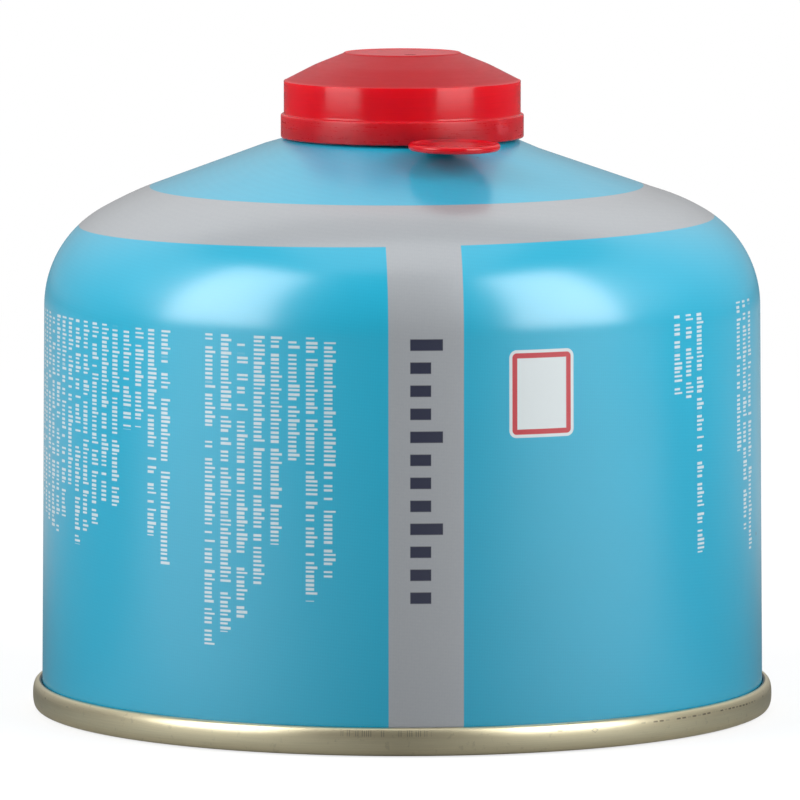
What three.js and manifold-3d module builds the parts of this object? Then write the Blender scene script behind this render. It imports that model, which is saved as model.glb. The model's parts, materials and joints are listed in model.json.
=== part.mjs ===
import * as THREE from 'three';
import { mergeVertices } from 'three/addons/utils/BufferGeometryUtils.js';
import Module from 'manifold-3d';

// Camping gas cartridge with a screw valve and a push-on cap.
// Millimetres, +Z up. The origin is the middle of the ring that the can stands on.
// The lift tab of the cap points to the front right, towards -Y and a little +X.

const wasm = await Module();
wasm.setup();

// Seam and bottom end
const seamRadius = 55.0;
const seamHeight = 3.9;
const seamWidth = 2.6; // from the seam's outer face to the inside of its ring
const seamRound = 0.9; // rounding of the seam's outer corners
const seamFootRound = 0.6; // rounding of its inner lower corner
const endThickness = 0.4;
const endRecess = 5.0; // from the foot of the seam up to the edge of the domed end
const endRise = 5.5; // of the domed end's middle over its edge
const endCorner = 1.8; // width of the bend between the ring and the domed end

// Can body, drawn in one piece with its dome
const wallFootRadius = 53.6;
const wallTopRadius = 53.1;
const wallHeight = 56.0; // straight part over the seam
const shoulderRadius = 16.1;
const shoulderSlope = 29.9; // degrees from level where the shoulder arc meets the crown arc
const crownRadius = 39.4;
const domeSlope = 19.7; // degrees from level of the straight cone under the valve
const skirtThickness = 0.55; // the wall's own edge, down inside the seam
const skirtFoot = 1.5; // height of that edge over the foot of the seam
const seamFit = 0.25; // room around the skirt inside the seam
const contentsFit = 0.3; // room between the contents and the domed end

// Neck of the can, rolled outwards into a curl
const neckBore = 25.4; // diameter, the one-inch opening
const curlSection = 1.2; // radius of the curl's round section
const curlRise = 1.1; // of the curl's middle over the cone
const neckSteel = 1.1; // thickness left under the cone around the pocket

// Valve cup, crimped over the curl
const cupThickness = 0.5;
const cupDepth = 5.5; // from the top of the cup's curl to its floor
const cupBend = 0.6; // bend at the cup's floor
const cupSkirtAngle = 25; // degrees that the cup's rolled edge goes on past level
const crimpBulge = 0.7; // how far the cup is spread under the curl
const crimpDrop = 2.4; // from the curl's middle down to where the cup is widest
const crimpHalf = 0.8; // half the height of the spread part
const gasketThickness = 0.35;
const gasketFit = 0.1; // room on each side of the neck gasket

// Threaded neck, 7/16 inch, and what it holds
const threadRadius = 5.55;
const threadHeight = 11.5; // from the cup's floor to the top of the neck
const threadWall = 0.8;
const threadChamfer = 0.5;
const mouthRadius = 2.75; // hole in the top of the neck
const mouthPlate = 0.6; // thickness of the neck's top
const stemGasketThickness = 0.7;
const housingFit = 0.25; // room between the neck and the housing
const housingFlange = 1.2; // height of the housing's rim
const housingStep = 0.35; // from the rim in to the housing's barrel
const housingWall = 0.8;
const housingLength = 10.5;
const nozzleLength = 2.6;
const nozzleRadius = 1.5;
const inletRadius = 0.7;
const pocketFit = 0.4; // room around the valve inside the can

// Valve stem and its spring
const pinRadius = 1.6;
const pinFit = 0.3; // room around the pin in its gasket
const pinRecess = 0.7; // from the top of the neck down to the pin
const collarRadius = 2.9;
const collarThickness = 1.2;
const guideLength = 1.5; // boss under the collar, inside the spring
const guideRadius = 1.5;
const springRadius = 2.3; // to the middle of the wire
const springWire = 0.25; // radius of the wire
const springTurns = 6;
const springFit = 0.1; // room at each end of the spring

// Cap, moulded in one piece with its lift tab
const capBandRadius = 18.0; // lower band
const capBandHeight = 3.9;
const capRimRadius = 17.55; // upper band
const capRimHeight = 4.8;
const capRimLedge = 0.15;
const capConeHeight = 4.0;
const capTopRadius = 8.9;
const capTopRound = 0.35;
const capDishRadius = 7.4;
const capDishDepth = 0.4;
const capWall = 1.2;
const capFit = 0.15; // room between the cap's foot and the cone
const snapBead = 0.5; // how far the snap bead stands in from the cap's wall
const snapHeight = 1.5;
const snapLift = 0.3; // of the bead over the cap's foot
const tabRadius = 6.7;
const tabThickness = 1.0;
const tabRim = 0.7; // width of the tab's raised rim
const tabDish = 0.3;
const tabReach = 24.6; // from the cap's axis to the tab's middle
const tabTurn = 17.9; // degrees from the front, towards +X
const tabNeckWidth = 5.0;
const tabNeckThickness = 0.8;

const turns = 48; // sides of the can, its end and the cap
const valveTurns = 36; // sides of the cup and its gasket
const smallTurns = 24;
const wireSegments = 3; // of half the wire's section
const wireSteps = 10; // in each turn of the spring

// Values that several pieces share
const seamInner = seamRadius - seamWidth;
const wallTop = seamHeight + wallHeight;
const skirtInner = wallFootRadius - skirtThickness;
const neckRadius = neckBore / 2;
const curlRadius = neckRadius + curlSection;
const curlCentre = domeHeight(curlRadius) + curlRise;
const cupCurlInner = curlSection + gasketThickness + 2 * gasketFit;
const cupCurlOuter = cupCurlInner + cupThickness;
const cupTop = curlCentre + cupCurlOuter;
const cupFloor = cupTop - cupDepth;
const cupWallRadius = curlRadius - cupCurlInner;
const neckTop = cupFloor + threadHeight;
const mouthUnder = neckTop - mouthPlate;
const stemSeat = mouthUnder - stemGasketThickness; // underside of the stem's gasket
const neckInner = threadRadius - threadWall;
const housingRim = neckInner - housingFit;
const housingRadius = housingRim - housingStep;
const housingFloor = stemSeat - housingLength + housingWall;
const housingFoot = stemSeat - housingLength;
const collarFoot = stemSeat - collarThickness;
const capFoot = domeHeight(capBandRadius - capWall) + capFit;

function radians(degrees) {
  return THREE.MathUtils.degToRad(degrees);
}

// Points on an arc in the (radius, height) plane, angles in degrees from level outwards.
function arc(radius, height, bend, from, to, steps) {
  const points = [];
  for (let i = 0; i <= steps; i += 1) {
    const angle = radians(from + ((to - from) * i) / steps);
    points.push([radius + bend * Math.cos(angle), height + bend * Math.sin(angle)]);
  }
  return points;
}

// The dome's outline: shoulder arc, crown arc, then a straight cone to the neck.
function shoulderCentre() {
  return [wallTopRadius - shoulderRadius, wallTop];
}

function crownCentre() {
  const [radius, height] = shoulderCentre();
  const reach = shoulderRadius - crownRadius;
  return [
    radius + reach * Math.sin(radians(shoulderSlope)),
    height + reach * Math.cos(radians(shoulderSlope)),
  ];
}

function domeHeight(radius) {
  const [centreRadius, centreHeight] = crownCentre();
  const slope = radians(domeSlope);
  const footRadius = centreRadius + crownRadius * Math.sin(slope);
  const footHeight = centreHeight + crownRadius * Math.cos(slope);
  return footHeight + (footRadius - radius) * Math.tan(slope);
}

// The domed end's underside is part of a sphere.
function endHeight(radius) {
  const edge = seamInner - endCorner;
  const sphere = (edge * edge + endRise * endRise) / (2 * endRise);
  return endRecess + endRise - sphere + Math.sqrt(sphere * sphere - radius * radius);
}

function endCurve(lift, steps) {
  const edge = seamInner - endCorner;
  const points = [];
  for (let i = 0; i <= steps; i += 1) {
    const radius = (edge * i) / steps;
    points.push([radius, endHeight(radius) + lift]);
  }
  return points;
}

// Turns an outline of [radius, height] points, listed with the solid on the left, about Z.
function turned(outline, sides) {
  const points = outline.map(([radius, height]) => new THREE.Vector2(radius, height));
  return new THREE.LatheGeometry(points, sides).rotateX(Math.PI / 2);
}

// A round piece with a hole through it: the outline closes on itself.
function turnedRing(outline, sides) {
  return turned([...outline, outline[0]], sides);
}

function toSolid(geometry) {
  const bare = geometry.index ? geometry.toNonIndexed() : geometry.clone();
  bare.deleteAttribute('normal');
  bare.deleteAttribute('uv');
  const merged = mergeVertices(bare, 1e-4);
  const corners = merged.index.array;
  const kept = [];
  for (let i = 0; i < corners.length; i += 3) {
    const [a, b, c] = corners.slice(i, i + 3);
    if (a !== b && b !== c && c !== a) {
      kept.push(a, b, c);
    }
  }
  return new wasm.Manifold(
    new wasm.Mesh({
      numProp: 3,
      vertProperties: new Float32Array(merged.attributes.position.array),
      triVerts: new Uint32Array(kept),
    }),
  );
}

function toGeometry(solid) {
  const mesh = solid.getMesh();
  const geometry = new THREE.BufferGeometry();
  geometry.setAttribute('position', new THREE.BufferAttribute(mesh.vertProperties, 3));
  geometry.setIndex(new THREE.BufferAttribute(mesh.triVerts, 1));
  geometry.computeVertexNormals();
  return geometry;
}

// The drawn can with its contents, and a pocket at the top for the valve.
function canBody() {
  const pocketRadius = neckRadius + crimpBulge;
  const pocketTop = domeHeight(pocketRadius) - neckSteel;
  const pocketFloor = cupFloor - cupThickness - pocketFit;
  const wellRadius = nozzleRadius + pocketFit;
  const wellFloor = housingFoot - nozzleLength - pocketFit;
  const barrelRadius = housingRadius + pocketFit;
  const barrelFloor = housingFoot - pocketFit;
  const underside = endThickness + contentsFit;
  const neckFoot = curlRadius + curlSection * Math.cos(radians(-55));
  return turned(
    [
      ...endCurve(underside, 3),
      [skirtInner, endHeight(seamInner - endCorner) + underside],
      [skirtInner, skirtFoot],
      [wallFootRadius, skirtFoot],
      [wallFootRadius, seamHeight],
      ...arc(...shoulderCentre(), shoulderRadius, 0, 90 - shoulderSlope, 7),
      ...arc(...crownCentre(), crownRadius, 90 - shoulderSlope, 90 - domeSlope, 2).slice(1),
      [neckFoot, domeHeight(neckFoot)],
      ...arc(curlRadius, curlCentre, curlSection, -55, 180, 6),
      [neckRadius, pocketTop + 0.5 * crimpBulge],
      [pocketRadius, pocketTop],
      [pocketRadius, pocketFloor],
      [barrelRadius, pocketFloor],
      [barrelRadius, barrelFloor],
      [wellRadius, barrelFloor],
      [wellRadius, wellFloor],
      [0, wellFloor],
    ],
    turns,
  );
}

// The domed end, with its edge rolled round the wall's edge into the double seam.
function bottomEnd() {
  const slotInner = skirtInner - seamFit;
  const slotOuter = wallFootRadius + seamFit;
  const slotFloor = skirtFoot - seamFit;
  const edge = seamInner - endCorner;
  return turned(
    [
      ...endCurve(0, 3),
      [seamInner - 0.3 * endCorner, endRecess - 0.3 * endCorner],
      [seamInner, endRecess - endCorner],
      ...arc(seamInner + seamFootRound, seamFootRound, seamFootRound, 180, 270, 2),
      ...arc(seamRadius - seamRound, seamRound, seamRound, 270, 360, 3),
      ...arc(seamRadius - seamRound, seamHeight - seamRound, seamRound, 0, 90, 3),
      [slotOuter, seamHeight],
      [slotOuter, slotFloor],
      [slotInner, slotFloor],
      [slotInner, endRecess - endCorner],
      [edge + 0.8 * endCorner, endHeight(edge) + endThickness - 0.2 * endCorner],
      ...endCurve(endThickness, 3).reverse(),
    ],
    turns,
  );
}

// The stamped cup: curl over the can's curl, spread under it, and drawn up into the threaded neck.
function valveCup() {
  const under = cupFloor - cupThickness;
  const inner = cupWallRadius - cupThickness;
  const crimpMiddle = curlCentre - crimpDrop;
  return turnedRing(
    [
      [mouthRadius, mouthUnder],
      [neckInner, mouthUnder],
      [neckInner, under],
      [cupWallRadius - cupBend, under],
      [cupWallRadius, under + cupBend],
      [cupWallRadius + crimpBulge, crimpMiddle],
      [cupWallRadius, crimpMiddle + crimpHalf],
      ...arc(curlRadius, curlCentre, cupCurlInner, 180, -cupSkirtAngle, 6),
      ...arc(curlRadius, curlCentre, cupCurlOuter, -cupSkirtAngle, 180, 7),
      [inner, crimpMiddle + crimpHalf],
      [inner + crimpBulge, crimpMiddle],
      [inner, cupFloor + cupBend],
      [inner - cupBend, cupFloor],
      [threadRadius + cupBend, cupFloor],
      [threadRadius, cupFloor + cupBend],
      [threadRadius, neckTop - threadChamfer],
      [threadRadius - threadChamfer, neckTop],
      [mouthRadius, neckTop],
    ],
    valveTurns,
  );
}

// Rubber between the two curls.
function neckGasket() {
  const inner = curlSection + gasketFit;
  const outer = inner + gasketThickness;
  return turnedRing(
    [
      ...arc(curlRadius, curlCentre, inner, 170, 10, 4),
      ...arc(curlRadius, curlCentre, outer, 10, 170, 4),
    ],
    valveTurns,
  );
}

// Flat rubber ring under the neck's top, which the stem seals against.
function stemGasket() {
  return turnedRing(
    [
      [pinRadius + pinFit, stemSeat],
      [housingRim, stemSeat],
      [housingRim, mouthUnder],
      [pinRadius + pinFit, mouthUnder],
    ],
    smallTurns,
  );
}

// Moulded housing that holds the spring and lets gas in at its nozzle.
function valveHousing() {
  const inner = housingRadius - housingWall;
  return turnedRing(
    [
      [inletRadius, housingFloor],
      [inletRadius, housingFoot - nozzleLength],
      [nozzleRadius, housingFoot - nozzleLength],
      [nozzleRadius, housingFoot],
      [housingRadius, housingFoot],
      [housingRadius, stemSeat - housingFlange],
      [housingRim, stemSeat - housingFlange],
      [housingRim, stemSeat],
      [inner, stemSeat],
      [inner, housingFloor],
    ],
    smallTurns,
  );
}

// Pin, sealing collar and guide boss in one piece. The appliance presses on the pin.
function valveStem() {
  const pinTop = neckTop - pinRecess;
  const guideFoot = collarFoot - guideLength;
  return turned(
    [
      [0, guideFoot],
      [guideRadius, guideFoot],
      [guideRadius, collarFoot],
      [collarRadius, collarFoot],
      [collarRadius, stemSeat],
      [pinRadius, stemSeat],
      [pinRadius, pinTop],
      [0, pinTop],
    ],
    smallTurns,
  );
}

class SpringPath extends THREE.Curve {
  getPoint(t, target = new THREE.Vector3()) {
    const angle = t * springTurns * 2 * Math.PI;
    const low = housingFloor + springFit + springWire;
    const high = collarFoot - springFit - springWire;
    return target.set(
      springRadius * Math.cos(angle),
      springRadius * Math.sin(angle),
      THREE.MathUtils.lerp(low, high, t),
    );
  }
}

function valveSpring() {
  const wire = new THREE.Shape();
  wire.absarc(0, 0, springWire, 0, 2 * Math.PI, false);
  return new THREE.ExtrudeGeometry(wire, {
    curveSegments: wireSegments,
    steps: springTurns * wireSteps,
    extrudePath: new SpringPath(),
  });
}

// The cap's hollow shell. Its snap bead catches under the cup's curl.
function capShell() {
  const bandInner = capBandRadius - capWall;
  const rimInner = capRimRadius - capWall;
  const bandTop = capFoot + capBandHeight;
  const rimTop = bandTop + capRimHeight;
  const top = rimTop + capConeHeight;
  const ceiling = top - capDishDepth - capWall;
  const coneRun = capRimRadius - capRimLedge - capTopRadius;
  const coneDrop = capWall * Math.hypot(1, capConeHeight / coneRun);
  const ceilingRadius = capTopRadius + ((top - coneDrop - ceiling) * coneRun) / capConeHeight;
  const snapFoot = capFoot + snapLift;
  return turned(
    [
      [0, ceiling],
      [ceilingRadius, ceiling],
      [rimInner, rimTop - coneDrop + capWall * (capConeHeight / coneRun)],
      [rimInner, bandTop],
      [bandInner, bandTop - (bandInner - rimInner)],
      [bandInner, snapFoot + snapHeight],
      [bandInner - snapBead, snapFoot + 0.6 * snapHeight],
      [bandInner - snapBead, snapFoot + 0.4 * snapHeight],
      [bandInner, snapFoot],
      [bandInner, capFoot],
      [capBandRadius, capFoot],
      [capBandRadius, bandTop],
      [capRimRadius, bandTop],
      [capRimRadius, rimTop],
      [capRimRadius - capRimLedge, rimTop],
      [capTopRadius + capTopRound, top - (capTopRound * capConeHeight) / coneRun],
      [capTopRadius - capTopRound, top],
      [capDishRadius, top],
      [capDishRadius - capDishDepth, top - capDishDepth],
      [0, top - capDishDepth],
    ],
    turns,
  );
}

function liftTab() {
  const tabTop = capFoot + tabThickness;
  const disc = turned(
    [
      [0, capFoot],
      [tabRadius, capFoot],
      [tabRadius, tabTop],
      [tabRadius - tabRim, tabTop],
      [tabRadius - tabRim - tabDish, tabTop - tabDish],
      [0, tabTop - tabDish],
    ],
    smallTurns,
  );
  disc.translate(0, -tabReach, 0);
  const neckFrom = capBandRadius - 0.5 * capWall;
  const neckTo = tabReach - tabRadius + 2 * tabRim;
  const neck = new THREE.BoxGeometry(tabNeckWidth, neckTo - neckFrom, tabNeckThickness);
  neck.translate(0, -(neckFrom + neckTo) / 2, capFoot + tabNeckThickness / 2);
  const tab = toSolid(disc).add(toSolid(neck));
  return toGeometry(tab).rotateZ(radians(tabTurn));
}

function cap() {
  return toGeometry(toSolid(capShell()).add(toSolid(liftTab())));
}

function finish(colour, roughness, metalness) {
  return new THREE.MeshStandardMaterial({ color: colour, roughness, metalness });
}

const pieces = {
  can_body: [canBody, finish('#52aed0', 0.3, 0)],
  bottom_end: [bottomEnd, finish('#a39c7d', 0.35, 1)],
  valve_cup: [valveCup, finish('#b9b49c', 0.3, 1)],
  neck_gasket: [neckGasket, finish('#20201f', 0.8, 0)],
  stem_gasket: [stemGasket, finish('#1c1c1c', 0.7, 0)],
  valve_housing: [valveHousing, finish('#e6e2d6', 0.5, 0)],
  valve_spring: [valveSpring, finish('#c2c3c4', 0.25, 1)],
  valve_stem: [valveStem, finish('#c9a65a', 0.3, 1)],
  cap: [cap, finish('#d11c32', 0.4, 0)],
};

const cartridge = new THREE.Group();
for (const [name, [shape, material]] of Object.entries(pieces)) {
  const mesh = new THREE.Mesh(shape(), material);
  mesh.name = name;
  cartridge.add(mesh);
}

export default cartridge;
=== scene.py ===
import json
import math

import bmesh
import bpy
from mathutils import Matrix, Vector


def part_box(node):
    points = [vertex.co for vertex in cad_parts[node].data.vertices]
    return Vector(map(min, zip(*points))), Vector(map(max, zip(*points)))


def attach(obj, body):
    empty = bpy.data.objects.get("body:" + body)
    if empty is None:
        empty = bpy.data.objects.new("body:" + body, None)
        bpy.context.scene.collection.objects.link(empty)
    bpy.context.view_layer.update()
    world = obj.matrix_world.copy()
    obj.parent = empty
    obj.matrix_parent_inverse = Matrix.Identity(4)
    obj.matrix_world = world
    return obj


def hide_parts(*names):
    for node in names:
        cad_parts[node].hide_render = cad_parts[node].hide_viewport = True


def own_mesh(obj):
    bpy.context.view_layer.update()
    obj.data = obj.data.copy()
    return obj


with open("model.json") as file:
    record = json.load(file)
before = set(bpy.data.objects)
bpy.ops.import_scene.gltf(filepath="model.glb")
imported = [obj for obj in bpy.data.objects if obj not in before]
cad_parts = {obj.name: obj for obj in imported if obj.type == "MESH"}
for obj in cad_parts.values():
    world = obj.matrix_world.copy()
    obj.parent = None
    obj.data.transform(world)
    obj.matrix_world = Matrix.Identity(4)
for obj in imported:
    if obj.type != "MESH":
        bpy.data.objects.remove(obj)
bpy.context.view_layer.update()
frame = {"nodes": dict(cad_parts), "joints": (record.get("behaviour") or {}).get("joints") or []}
mm = 0.001


# Nodes: a Flow is a socket that can be used in sums, for materials and geometry alike

class Flow:
    def __init__(self, tree, socket):
        self.tree = tree
        self.socket = socket

    def math(self, operation, *others):
        node = self.tree.nodes.new("ShaderNodeMath")
        node.operation = operation
        for value, socket in zip((self,) + others, node.inputs):
            plug(self.tree, value, socket)
        return Flow(self.tree, node.outputs[0])

    def __add__(self, other):
        return self.math("ADD", other)

    def __sub__(self, other):
        return self.math("SUBTRACT", other)

    def __mul__(self, other):
        return self.math("MULTIPLY", other)

    def __truediv__(self, other):
        return self.math("DIVIDE", other)

    def __rsub__(self, other):
        return (self * -1).math("ADD", other)

    def __mod__(self, other):
        return self.math("FLOORED_MODULO", other)

    __radd__ = __add__

    def abs(self):
        return self.math("ABSOLUTE")

    def floor(self):
        return self.math("FLOOR")

    def fract(self):
        return self.math("FRACT")

    def low(self, other):
        return self.math("MINIMUM", other)

    def high(self, other):
        return self.math("MAXIMUM", other)

    # 0 below a value and 1 above it, with a soft step between
    def past(self, value, soft=0.08):
        step = (self - value) * (1 / soft) + 0.5
        return step.low(1).high(0)

    def within(self, lowest, highest, soft=0.08):
        return self.past(lowest, soft) * (1 - self.past(highest, soft))


def plug(tree, value, socket):
    if isinstance(value, Flow):
        tree.links.new(value.socket, socket)
    else:
        socket.default_value = value


class Maker:
    def __init__(self, tree):
        self.tree = tree

    # one node of any type: its settings first, then its inputs; gives one output
    def add(self, kind, settings=None, inputs=None, out=0):
        node = self.tree.nodes.new(kind)
        for name, value in (settings or {}).items():
            if name == "stops":
                setStops(node.color_ramp, value)
            else:
                setattr(node, name, value)
        for name, value in (inputs or {}).items():
            plug(self.tree, value, node.inputs[name])
        return Flow(self.tree, node.outputs[out])

    def mix(self, share, first, second):
        kinds = {"data_type": "RGBA"}
        return self.add("ShaderNodeMix", kinds, {0: share, 6: first, 7: second}, out=2)

    def random(self, value, seed=0.0):
        return self.add("ShaderNodeTexWhiteNoise", {"noise_dimensions": "1D"}, {"W": value + seed}, "Value")

    def noise(self, place, scale, detail=2.0, roughness=0.5):
        sizes = {"Vector": place, "Scale": scale, "Detail": detail, "Roughness": roughness}
        return self.add("ShaderNodeTexNoise", {}, sizes, "Fac")

    def stretch(self, place, scale):
        return self.add("ShaderNodeMapping", {}, {"Vector": place, "Scale": scale})


def setStops(ramp, stops):
    ramp.interpolation = "CONSTANT"
    while len(ramp.elements) < len(stops):
        ramp.elements.new(1)
    for element, (place, colour) in zip(ramp.elements, stops):
        element.position = place
        element.color = colour


# a colour as seen on a screen, 0 to 255, as Blender's linear colour
def tone(red, green, blue):
    def linear(value):
        share = value / 255
        return share / 12.92 if share <= 0.04045 else ((share + 0.055) / 1.055) ** 2.4
    return (linear(red), linear(green), linear(blue), 1)


# Outlines are lists of (radius, height) in millimetres, with the solid on the left of the way they run

def arc(centre, bend, start, stop, steps):
    points = []
    for i in range(steps + 1):
        angle = math.radians(start + (stop - start) * i / steps)
        points.append((centre[0] + bend * math.cos(angle), centre[1] + bend * math.sin(angle)))
    return points


# corners given as (radius, height, bend) become round with that bend
def rounded(corners, steps=5):
    points = []
    for i, corner in enumerate(corners):
        here = Vector(corner[:2])
        bend = corner[2] if len(corner) > 2 else 0
        if bend == 0 or i in (0, len(corners) - 1):
            points.append(tuple(here))
            continue
        back = Vector(corners[i - 1][:2]) - here
        onward = Vector(corners[i + 1][:2]) - here
        half = back.angle(onward) / 2
        reach = min(bend / math.tan(half), 0.48 * back.length, 0.48 * onward.length)
        bend = reach * math.tan(half)
        middle = here + (back.normalized() + onward.normalized()).normalized() * (bend / math.sin(half))
        first = here + back.normalized() * reach - middle
        last = here + onward.normalized() * reach - middle
        turn = first.angle_signed(last)
        for step in range(steps + 1):
            angle = math.atan2(first.y, first.x) - turn * step / steps
            points.append((middle.x + bend * math.cos(angle), middle.y + bend * math.sin(angle)))
    return points


# Geometry Nodes: an outline turned about Z, with a thread where the outline asks for one

def newTree(name, sockets):
    tree = bpy.data.node_groups.new(name, "GeometryNodeTree")
    tree.interface.new_socket("Geometry", in_out="INPUT", socket_type="NodeSocketGeometry")
    tree.interface.new_socket("Geometry", in_out="OUTPUT", socket_type="NodeSocketGeometry")
    for label, kind in sockets.items():
        tree.interface.new_socket(label, in_out="INPUT", socket_type="NodeSocket" + kind)
    source = tree.nodes.new("NodeGroupInput")
    given = {socket.name: Flow(tree, socket) for socket in source.outputs if socket.name}
    return tree, Maker(tree), given


def endTree(tree, make, given, shape):
    real = make.add("GeometryNodeRealizeInstances", {}, {"Geometry": shape})
    dressed = make.add("GeometryNodeSetMaterial", {}, {"Geometry": real, "Material": given["Finish"]})
    sink = tree.nodes.new("NodeGroupOutput")
    plug(tree, dressed, sink.inputs["Geometry"])
    return tree


def turnedTree():
    sizes = {"Sides": "Int", "Thread pitch": "Float", "Thread depth": "Float", "Finish": "Material"}
    tree, make, given = newTree("turnedPiece", sizes)
    outline = given["Geometry"]
    count = make.add("GeometryNodeAttributeDomainSize", {}, {"Geometry": outline}, "Point Count")
    columns = given["Sides"] + 1
    grid = make.add("GeometryNodeMeshGrid", {}, {"Vertices X": columns, "Vertices Y": count}, "Mesh")
    index = make.add("GeometryNodeInputIndex")
    column = (index / count + 1e-4).floor()
    row = index - column * count
    point = make.add(
        "GeometryNodeSampleIndex", {"data_type": "FLOAT_VECTOR"},
        {"Geometry": outline, "Value": make.add("GeometryNodeInputPosition"), "Index": row},
    )
    named = make.add("GeometryNodeInputNamedAttribute", {"data_type": "FLOAT"}, {"Name": "threadShare"})
    share = make.add(
        "GeometryNodeSampleIndex", {"data_type": "FLOAT"},
        {"Geometry": outline, "Value": named, "Index": row},
    )
    split = tree.nodes.new("ShaderNodeSeparateXYZ")
    plug(tree, point, split.inputs[0])
    radius, height = Flow(tree, split.outputs["X"]), Flow(tree, split.outputs["Z"])
    turn = column / given["Sides"]
    wave = ((height / given["Thread pitch"] - turn).fract() * 2 - 1).abs()  # 1 at a crest, 0 at a root
    flank = (wave * 1.35 - 0.175).low(1).high(0)
    radius = radius - (1 - flank) * share * given["Thread depth"]
    angle = turn * (2 * math.pi)
    place = make.add(
        "ShaderNodeCombineXYZ", {},
        {"X": radius * angle.math("COSINE"), "Y": radius * angle.math("SINE"), "Z": height},
    )
    turned = make.add("GeometryNodeSetPosition", {}, {"Geometry": grid, "Position": place})
    closed = make.add("GeometryNodeMergeByDistance", {}, {"Geometry": turned, "Distance": 2e-6})
    return endTree(tree, make, given, closed)


def springTree():
    sizes = {"Turns": "Float", "Radius": "Float", "Wire": "Float", "Low": "Float", "High": "Float",
             "Finish": "Material"}
    tree, make, given = newTree("coiledSpring", sizes)
    steps = given["Turns"] * 48
    path = make.add(
        "GeometryNodeCurveSpiral", {},
        {"Resolution": 48, "Rotations": given["Turns"], "Start Radius": given["Radius"],
         "End Radius": given["Radius"], "Height": given["High"] - given["Low"]},
    )
    even = make.add("GeometryNodeResampleCurve", {}, {"Curve": path, "Count": steps})
    lift = make.add("ShaderNodeCombineXYZ", {}, {"Z": given["Low"]})
    raised = make.add("GeometryNodeSetPosition", {}, {"Geometry": even, "Offset": lift})
    wire = make.add("GeometryNodeCurvePrimitiveCircle", {}, {"Resolution": 12, "Radius": given["Wire"]})
    body = make.add(
        "GeometryNodeCurveToMesh", {}, {"Curve": raised, "Profile Curve": wire, "Fill Caps": True},
    )
    return endTree(tree, make, given, body)


# runs a tree on a starting mesh and keeps the result as a plain mesh
def runTree(name, start, tree, values):
    worker = bpy.data.objects.new(name + "Start", start)
    bpy.context.scene.collection.objects.link(worker)
    modifier = worker.modifiers.new(name, "NODES")
    modifier.node_group = tree
    for socket in tree.interface.items_tree:
        if socket.in_out == "INPUT" and socket.name in values:
            modifier[socket.identifier] = values[socket.name]
    bpy.context.view_layer.update()
    evaluated = worker.evaluated_get(bpy.context.evaluated_depsgraph_get())
    mesh = bpy.data.meshes.new_from_object(evaluated)
    bpy.data.objects.remove(worker)
    mesh.materials.clear()
    mesh.materials.append(values["Finish"])
    mesh.polygons.foreach_set("material_index", [0] * len(mesh.polygons))
    return finished(name, mesh)


def finished(name, mesh, crease=38):
    mesh.name = name
    mesh.shade_smooth()
    mesh.set_sharp_from_angle(angle=math.radians(crease))
    piece = bpy.data.objects.new(name, mesh)
    bpy.context.scene.collection.objects.link(piece)
    return piece


def turned(name, outline, sides, finish, threaded=None, pitch=1.0, depth=0.0):
    start = bpy.data.meshes.new(name + "Outline")
    points = [(radius * mm, 0, height * mm) for radius, height in outline]
    start.from_pydata(points, [(i, i + 1) for i in range(len(points) - 1)], [])
    share = start.attributes.new("threadShare", "FLOAT", "POINT")
    for item, (radius, height) in zip(share.data, outline):
        item.value = threaded(radius, height) if threaded else 0.0
    values = {"Sides": sides, "Thread pitch": pitch * mm, "Thread depth": depth * mm, "Finish": finish}
    return runTree(name, start, turnedNodes, values)


turnedNodes = turnedTree()
springNodes = springTree()


# Materials

def newFinish(name, shine):
    finish = bpy.data.materials.new(name)
    finish.use_nodes = True
    finish.node_tree.nodes.clear()
    make = Maker(finish.node_tree)
    shader = finish.node_tree.nodes.new("ShaderNodeBsdfPrincipled")
    for socket, value in shine.items():
        shader.inputs[socket].default_value = value
    sink = finish.node_tree.nodes.new("ShaderNodeOutputMaterial")
    finish.node_tree.links.new(shader.outputs[0], sink.inputs["Surface"])
    place = make.add("ShaderNodeTexCoord", out="Object")
    split = finish.node_tree.nodes.new("ShaderNodeSeparateXYZ")
    plug(finish.node_tree, place, split.inputs[0])
    x, y, z = (Flow(finish.node_tree, split.outputs[axis]) * (1 / mm) for axis in "XYZ")
    return finish, make, shader, place, (x, y, z)


def dress(make, shader, values):
    for socket, value in values.items():
        plug(make.tree, value, shader.inputs[socket])


def bump(make, height, strength, distance):
    sizes = {"Height": height, "Strength": strength, "Distance": distance * mm}
    return make.add("ShaderNodeBump", {}, sizes)


def around(make, x, y):
    turn = x.math("ARCTAN2", y * -1) * (180 / math.pi)  # degrees from the front, towards +X
    radius = (x * x + y * y).math("SQRT")
    return turn, radius


printPlan = {
    "blue": tone(8, 157, 188),
    "deepBlueAndShade": tone(2, 128, 158),
    "silver": tone(157, 161, 165),
    "white": tone(190, 198, 200),
    "navy": tone(24, 29, 52),
    "red": tone(168, 30, 42),
    "inkStain": tone(60, 62, 64),
    "deepSilverAndShade": tone(138, 142, 147),
    "wallRadius": 53.3,
    "wallEnd": 63.0,
    "footShadeHeight": 62,  # below this the colour is painted darker towards the foot: painted shade
    "bandMiddle": (-0.84, 0.1),  # the band is printed a little off the can's axis
    "bandInner": 36.6,
    "bandOuter": 47.1,
    "stripeTurn": 3.7,
    "stripeHalf": 5.4,
    "panelTurn": 22.1,
    "panelHeight": 51.7,
    "panelHalf": (5.0, 6.3),
    "panelCorner": 1.1,
    "panelFrame": 0.75,
    "panelMargin": 0.45,
    "tickTurn": 3.75,
    "tickHalf": 2.35,
    "tickTop": 60.0,
    "tickFoot": 20.4,
    "tickPitch": 3.3,
    "tickShort": 1.7,
    "longTickEvery": 4,
    "linePitch": 2.66,
    "strokePitch": 0.62,
    "longestRow": 50,
    "speckScale": 75,
    "speckRadius": 0.022,
}
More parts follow.
